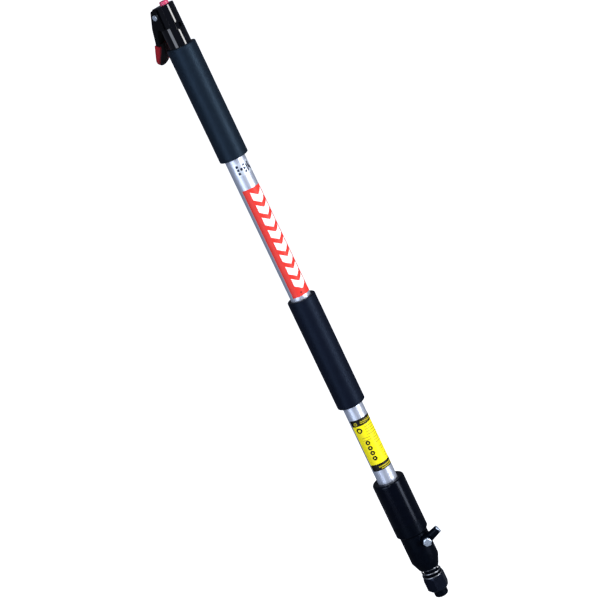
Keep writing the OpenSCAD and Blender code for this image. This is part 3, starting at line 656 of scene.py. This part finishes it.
@dataclass
class FoamGrip:
    """One foam grip on the handle tube.

    Attributes:
        node: The CAD node that it stands for.
        finish: Its foam.
        slot: The record's material slot; not used.
        edge: Radius of its rounded ends, in metres.
        swell: Depth of the foam's unevenness, in metres.
        swell_size: Size of one swelling, in metres.
        clearance: Gap between the tube and the foam, in metres.
        sides: Facets round it.
        rings: Cuts along it.
        corner: Facets across a rounded end.
    """

    node: str
    finish: Finish
    slot: str
    edge: float = 2.0 * MM
    swell: float = 0.25 * MM
    swell_size: float = 30.0 * MM
    clearance: float = 0.02 * MM
    sides: int = 128
    rings: int = 48
    corner: int = 6

    def build(self) -> bpy.types.Object:
        """Models the grip as a thick sleeve with rounded ends.

        Returns:
            The grip.
        """
        low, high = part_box(self.node)
        tube_low, tube_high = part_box("handle_tube")
        outer = (high.x - low.x) / 2 - self.swell
        inner = (tube_high.x - tube_low.x) / 2 + self.clearance
        length = high.z - low.z
        bpy.ops.mesh.primitive_cylinder_add(vertices=self.sides, radius=outer, depth=length,
                                            location=(0, 0, (low.z + high.z) / 2))
        grip = only(bpy.context.active_object)
        bpy.ops.object.transform_apply(location=True, rotation=False, scale=False)
        bpy.ops.object.mode_set(mode="EDIT")
        pick(grip, Element.FACE, lambda face: abs(face.normal.z) > 0.9)
        bpy.ops.mesh.inset(thickness=outer - inner, depth=0)
        bpy.ops.mesh.delete(type="FACE")
        pick(grip, Element.EDGE, lambda edge: all(r < inner * 1.01 for r in self.radii(grip, edge)))
        bpy.ops.mesh.bridge_edge_loops()
        pick(grip, Element.EDGE, lambda edge: self.rise(grip, edge) < 0.001 * MM
             and all(r > outer * 0.99 for r in self.radii(grip, edge)))
        bpy.ops.mesh.bevel(offset=self.edge, segments=self.corner, profile=0.5, affect="EDGES")
        pick(grip, Element.EDGE, lambda edge: self.rise(grip, edge) > length / 2)
        bpy.ops.mesh.subdivide(number_cuts=self.rings)
        bpy.ops.object.mode_set(mode="OBJECT")
        self.roughen(grip)
        settle(grip, self.node + "_foam", BODY, self.finish, smooth=50.0)
        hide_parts(self.node)
        return grip

    def radii(self, grip: bpy.types.Object, edge: bpy.types.MeshEdge) -> list[float]:
        """Gives the distance of each end of an edge from the tool's axis."""
        return [math.hypot(*grip.data.vertices[v].co.xy) for v in edge.vertices]

    def rise(self, grip: bpy.types.Object, edge: bpy.types.MeshEdge) -> float:
        """Gives an edge's length along the tool."""
        low, high = (grip.data.vertices[v].co.z for v in edge.vertices)
        return abs(high - low)

    def roughen(self, grip: bpy.types.Object) -> None:
        """Moves the skin in and out a little, as cut foam has no perfect surface."""
        texture = bpy.data.textures.new(self.node + "_swell", "CLOUDS")
        texture.noise_scale = self.swell_size
        modify(grip, "DISPLACE", texture=texture, strength=self.swell, mid_level=0.5,
               texture_coords="LOCAL")


@dataclass
class Handle:
    """The tube with its two grips and three labels."""

    def build(self) -> None:
        """Dresses the tube and the labels, and builds the grips."""
        FoamGrip("upper_grip", UPPER_FOAM, "upper_foam").build()
        FoamGrip("lower_grip", LOWER_FOAM, "lower_foam").build()
        dress(EXTRUDED_ALUMINIUM, "handle_tube")
        dress(RED_FILM, "front_label")
        dress(YELLOW_FILM, "yellow_label")
        dress(PLATE_FILM, "data_plate")


@dataclass
class ThrottleHead:
    """The throttle head with its valve, plugs and seals.

    Attributes:
        edge: Radius of the head's broken edges, in metres.
        plug_edge: Radius of the shipping plug's edges, in metres.
    """

    edge: float = 0.35 * MM
    plug_edge: float = 0.5 * MM

    def build(self) -> None:
        """Breaks the head's edges and dresses everything in it."""
        soften("throttle_body", "throttle_head", GLOSS_BLACK, self.edge, merge=False)
        soften("valve_cap_plug", "throttle_valve_plug", GLOSS_BLACK, self.edge, merge=False)
        soften("inlet_plug", "inlet_shipping_plug", PINK_POLYTHENE, self.plug_edge,
               body="inlet_plug")
        dress(BLACK_OXIDE, "tube_set_screw")
        dress(GROUND_STEEL, "push_pin")
        dress(BRASS, "throttle_valve", "inlet_screen")
        dress(SPRING_WIRE, "valve_spring")
        dress(SEAL_RUBBER, "push_pin_o_ring", "cap_o_ring", "head_o_ring")


@dataclass
class Lever:
    """The pressed lever with its dipped paddle and its pivot.

    Attributes:
        edge: Radius of the pressed sheet's edges, in metres.
        dip_edge: Radius of the vinyl's edges, in metres.
        pin_edge: Radius of the pin head's edges, in metres.
    """

    edge: float = 0.6 * MM
    dip_edge: float = 0.7 * MM
    pin_edge: float = 0.5 * MM

    def build(self) -> None:
        """Rounds the sheet's and the vinyl's edges and dresses the pivot."""
        soften("throttle_lever", "throttle_lever_sheet", LEVER_PAINT, self.edge,
               segments=3, body="lever")
        soften("lever_sleeve", "lever_dip", DIPPED_VINYL, self.dip_edge, segments=3,
               body="lever")
        soften("lever_pivot_pin", "lever_pivot", ZINC_PLATE, self.pin_edge, segments=3)
        dress(GROUND_STEEL, "pivot_ring")


@dataclass
class Coupling:
    """The collar between tube and hammer, with the valve chest in it."""

    def build(self) -> None:
        """Dresses the collar and what it holds."""
        dress(SATIN_BLACK, "coupling_collar")
        dress(SEAL_RUBBER, "tube_o_ring")
        dress(TURNED_STEEL, "valve_cover", "valve_block")
        dress(GROUND_STEEL, "valve_disc", "valve_dowel")


@dataclass
class Hammer:
    """The hammer's barrel with the piston and the chisel bushing.

    Attributes:
        edge: Radius of the barrel's and the nose's broken edges, in metres.
    """

    edge: float = 0.5 * MM

    def build(self) -> None:
        """Breaks the barrel's and the nose's edges and dresses what they hold."""
        soften("hammer_barrel", "hammer_barrel_casting", PHOSPHATE, self.edge)
        soften("hammer_nose", "hammer_pressed_nose", PHOSPHATE, self.edge)
        dress(GROUND_STEEL, "piston", "chisel_bushing", "retaining_balls")


@dataclass
class Retainer:
    """The sprung sleeve that frees the chisel.

    Attributes:
        wire: Diameter of the spring's wire, in metres.
        turns: Free turns of the spring.
        flat: Flat turns at each end.
        steps: Points for each turn.
        taper: How much smaller the top turn's radius is than the bottom turn's, in metres.
        slack: How much smaller than the CAD wire's radius the drawn one is, in metres.
        sleeve_edge: Radius of the sleeve's broken edges, in metres.
    """

    wire: float = 3.0 * MM
    turns: float = 2.0
    flat: float = 0.4
    steps: int = 48
    taper: float = 2.95 * MM
    slack: float = 0.01 * MM
    sleeve_edge: float = 0.4 * MM

    def path(self) -> list[Vector]:
        """Gives the points of the spring's wire, from the sleeve up to the cone.

        Returns:
            The points, in metres.
        """
        low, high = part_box("retainer_spring")
        bottom, top = low.z + self.wire / 2, high.z - self.wire / 2
        wide = max(high.x, -low.x, high.y, -low.y) - self.wire / 2
        narrow = wide - self.taper
        count = round(self.steps * (self.turns + 2 * self.flat))
        points = []
        for i in range(count + 1):
            turn = i / self.steps
            up = min(max((turn - self.flat) / self.turns, 0.0), 1.0)
            radius = wide + (narrow - wide) * up
            angle = -2 * math.pi * turn
            points.append(Vector((radius * math.cos(angle), radius * math.sin(angle),
                                  bottom + (top - bottom) * up)))
        return points

    def build_spring(self) -> bpy.types.Object:
        """Draws the spring as a round wire along its path.

        Returns:
            The spring.
        """
        curve = bpy.data.curves.new("retainer_coil", "CURVE")
        curve.dimensions = "3D"
        points = self.path()
        line = curve.splines.new("POLY")
        line.points.add(len(points) - 1)
        for point, where in zip(line.points, points):
            point.co = (*where, 1.0)
        curve.bevel_depth = self.wire / 2 - self.slack
        curve.bevel_resolution = 6
        curve.use_fill_caps = True
        coil = bpy.data.objects.new("retainer_coil", curve)
        bpy.context.scene.collection.objects.link(coil)
        only(coil)
        bpy.ops.object.convert(target="MESH")
        coil = bpy.context.active_object
        settle(coil, "retainer_coil", BODY, SPRING_WIRE)
        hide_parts("retainer_spring")
        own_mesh(coil)
        return coil

    def build(self) -> None:
        """Builds the spring, breaks the sleeve's edges and dresses the snap ring."""
        self.build_spring()
        soften("retainer_sleeve", "retainer_hex_sleeve", BLACK_OXIDE, self.sleeve_edge,
               body="retainer_sleeve")
        dress(GROUND_STEEL, "snap_ring")


@dataclass
class Exhaust:
    """The swivelling exhaust deflector with its clamp bolt.

    Attributes:
        cast_edge: Radius of the casting's edges, in metres.
        bolt_edge: Radius of the bolt's and the end ring's broken edges, in metres.
    """

    cast_edge: float = 0.8 * MM
    bolt_edge: float = 0.3 * MM

    def build(self) -> None:
        """Breaks the casting's edges and dresses the bolt, the washer and the screen."""
        soften("exhaust_deflector", "exhaust_elbow", PHOSPHATE, self.cast_edge,
               segments=3, body="exhaust_deflector")
        soften("exhaust_bolt", "exhaust_clamp_bolt", ZINC_PLATE, self.bolt_edge)
        dress(PHOSPHATE, "exhaust_washer")
        soften("exhaust_screen", "exhaust_end_ring", ZINC_PLATE, self.bolt_edge,
               body="exhaust_deflector")


# ---- Studio ----

@dataclass
class StripLight:
    """A soft box that is turned to the tool.

    Attributes:
        name: The light's name.
        azimuth: Its direction from the tool, in degrees, where 0 is -Y and 90 is +X.
        elevation: Its height over the tool's middle, in degrees.
        distance: Its distance, in metres.
        width: Its width, in metres.
        height: Its height, in metres.
        power: Its power, in watts.
        colour: Its sRGB colour.
    """

    name: str
    azimuth: float
    elevation: float
    distance: float
    width: float
    height: float
    power: float
    colour: str = "FFFFFF"

    def build(self, target: Vector) -> None:
        """Hangs the light and turns it to the target."""
        a, e = math.radians(self.azimuth), math.radians(self.elevation)
        out = Vector((math.sin(a) * math.cos(e), -math.cos(a) * math.cos(e), math.sin(e)))
        data = bpy.data.lights.new(self.name, "AREA")
        data.shape = "RECTANGLE"
        data.size, data.size_y = self.width, self.height
        data.energy = self.power
        data.color = linear(self.colour)[:3]
        light = bpy.data.objects.new(self.name, data)
        light.location = target + out * self.distance
        light.rotation_euler = (-out).to_track_quat("-Z", "Y").to_euler()
        bpy.context.scene.collection.objects.link(light)


@dataclass
class Studio:
    """Plain pale floor, soft lights and the camera.

    Attributes:
        azimuth: The camera's direction from the tool, in degrees.
        elevation: Its height above the horizon, in degrees.
        roll: How far the tool's top leans to the left, in degrees.
        distance: Its distance from the aim, in metres.
        focus_mm: The lens, in millimetres on a 36 mm wide sensor.
        aim_z: Height of the aim on the tool axis, in metres.
        shift: The lens's shift, as shares of the picture's width.
        floor_z: Height of the floor, in metres, well under the tool, which is held up.
        floor_size: Side of the floor, in metres.
        backdrop_radius: Radius of the round backdrop, in metres.
        room: Strength of the room's even light.
        mirrored_room: The same where a glossy surface mirrors the room, which has dark flags in it.
    """

    azimuth: float = -40.0
    elevation: float = 15.5
    roll: float = 25.47
    distance: float = 3.319
    focus_mm: float = 111.6
    aim_z: float = 0.6354
    shift: tuple[float, float] = (-0.003, -0.0014)
    floor_z: float = -1.4
    floor_size: float = 80.0
    backdrop_radius: float = 30.0
    room: float = 0.3
    mirrored_room: float = 0.12

    def add_camera(self) -> None:
        """Stands the camera so that the tool leans across the picture."""
        a, e = math.radians(self.azimuth), math.radians(self.elevation)
        out = Vector((math.sin(a) * math.cos(e), -math.cos(a) * math.cos(e), math.sin(e)))
        data = bpy.data.cameras.new("camera")
        data.sensor_width = 36.0
        data.lens = self.focus_mm
        data.shift_x, data.shift_y = self.shift
        data.clip_end = 500.0
        camera = bpy.data.objects.new("camera", data)
        turn = (-out).to_track_quat("-Z", "Y").to_matrix().to_4x4()
        lean = Matrix.Rotation(-math.radians(self.roll), 4, "Z")
        place_at = Matrix.Translation(Vector((0, 0, self.aim_z)) + out * self.distance)
        camera.matrix_world = place_at @ turn @ lean
        bpy.context.scene.collection.objects.link(camera)
        bpy.context.scene.camera = camera

    def add_floor(self) -> None:
        """Lays a pale matte floor with a round backdrop far behind it, which only the camera sees."""
        material = bpy.data.materials.new("pale_floor")
        material.use_nodes = True
        tree = material.node_tree
        shader = tree.nodes["Principled BSDF"]
        shader.inputs["Base Color"].default_value = linear("FAFAFA")
        shader.inputs["Roughness"].default_value = 1.0
        shader.inputs["Specular IOR Level"].default_value = 0.0
        shader.inputs["Emission Color"].default_value = linear("FFFFFF")
        shader.inputs["Emission Strength"].default_value = 0.95
        bpy.ops.mesh.primitive_plane_add(size=self.floor_size, location=(0, 0, self.floor_z))
        floor = bpy.context.active_object
        floor.name = "floor"
        bpy.ops.mesh.primitive_uv_sphere_add(segments=48, ring_count=24, radius=self.backdrop_radius)
        backdrop = bpy.context.active_object
        backdrop.name = "backdrop"
        backdrop.visible_shadow = False
        for stage in (floor, backdrop):
            stage.data.materials.append(material)
            stage.visible_glossy = False
            stage.visible_diffuse = False
            stage.visible_transmission = False

    def add_world(self) -> None:
        """Fills the room with a low, even, slightly blue light, darker where gloss mirrors it."""
        world = bpy.data.worlds.new("room")
        world.use_nodes = True
        tree = world.node_tree
        mirrored = add(tree, "LightPath", out="Is Glossy Ray")
        strength = add(tree, "MapRange", (mirrored, 0.0, 1.0, self.room, self.mirrored_room))
        back = tree.nodes["Background"]
        back.inputs["Color"].default_value = linear("D5E0F8")
        tree.links.new(strength, back.inputs["Strength"])
        bpy.context.scene.world = world

    def build(self) -> None:
        """Sets up the picture's colour, the camera, the floor and the lights."""
        scene = bpy.context.scene
        scene.view_settings.view_transform = "Standard"
        scene.view_settings.look = "None"
        self.add_camera()
        self.add_floor()
        self.add_world()
        middle = Vector((0, 0, self.aim_z))
        lights = [
            StripLight("key_strip", azimuth=self.azimuth + 53, elevation=2, distance=1.9, width=0.5,
                       height=2.6, power=54),
            StripLight("left_panel", azimuth=self.azimuth - 42, elevation=4, distance=2.2, width=1.1,
                       height=2.6, power=34, colour="E8F0FF"),
            StripLight("front_fill", azimuth=self.azimuth - 10, elevation=38, distance=3.0, width=0.5,
                       height=0.5, power=26),
        ]
        for light in lights:
            light.build(middle)


def main() -> None:
    """Builds the studio and each sub-assembly in order."""
    logging.basicConfig(level=logging.INFO, format="%(name)s %(message)s")
    Studio().build()
    for part in (Handle(), ThrottleHead(), Lever(), Coupling(), Hammer(), Retainer(), Exhaust()):
        part.build()
        log.info("%s is built", type(part).__name__)


if __name__ == "__main__":
    main()
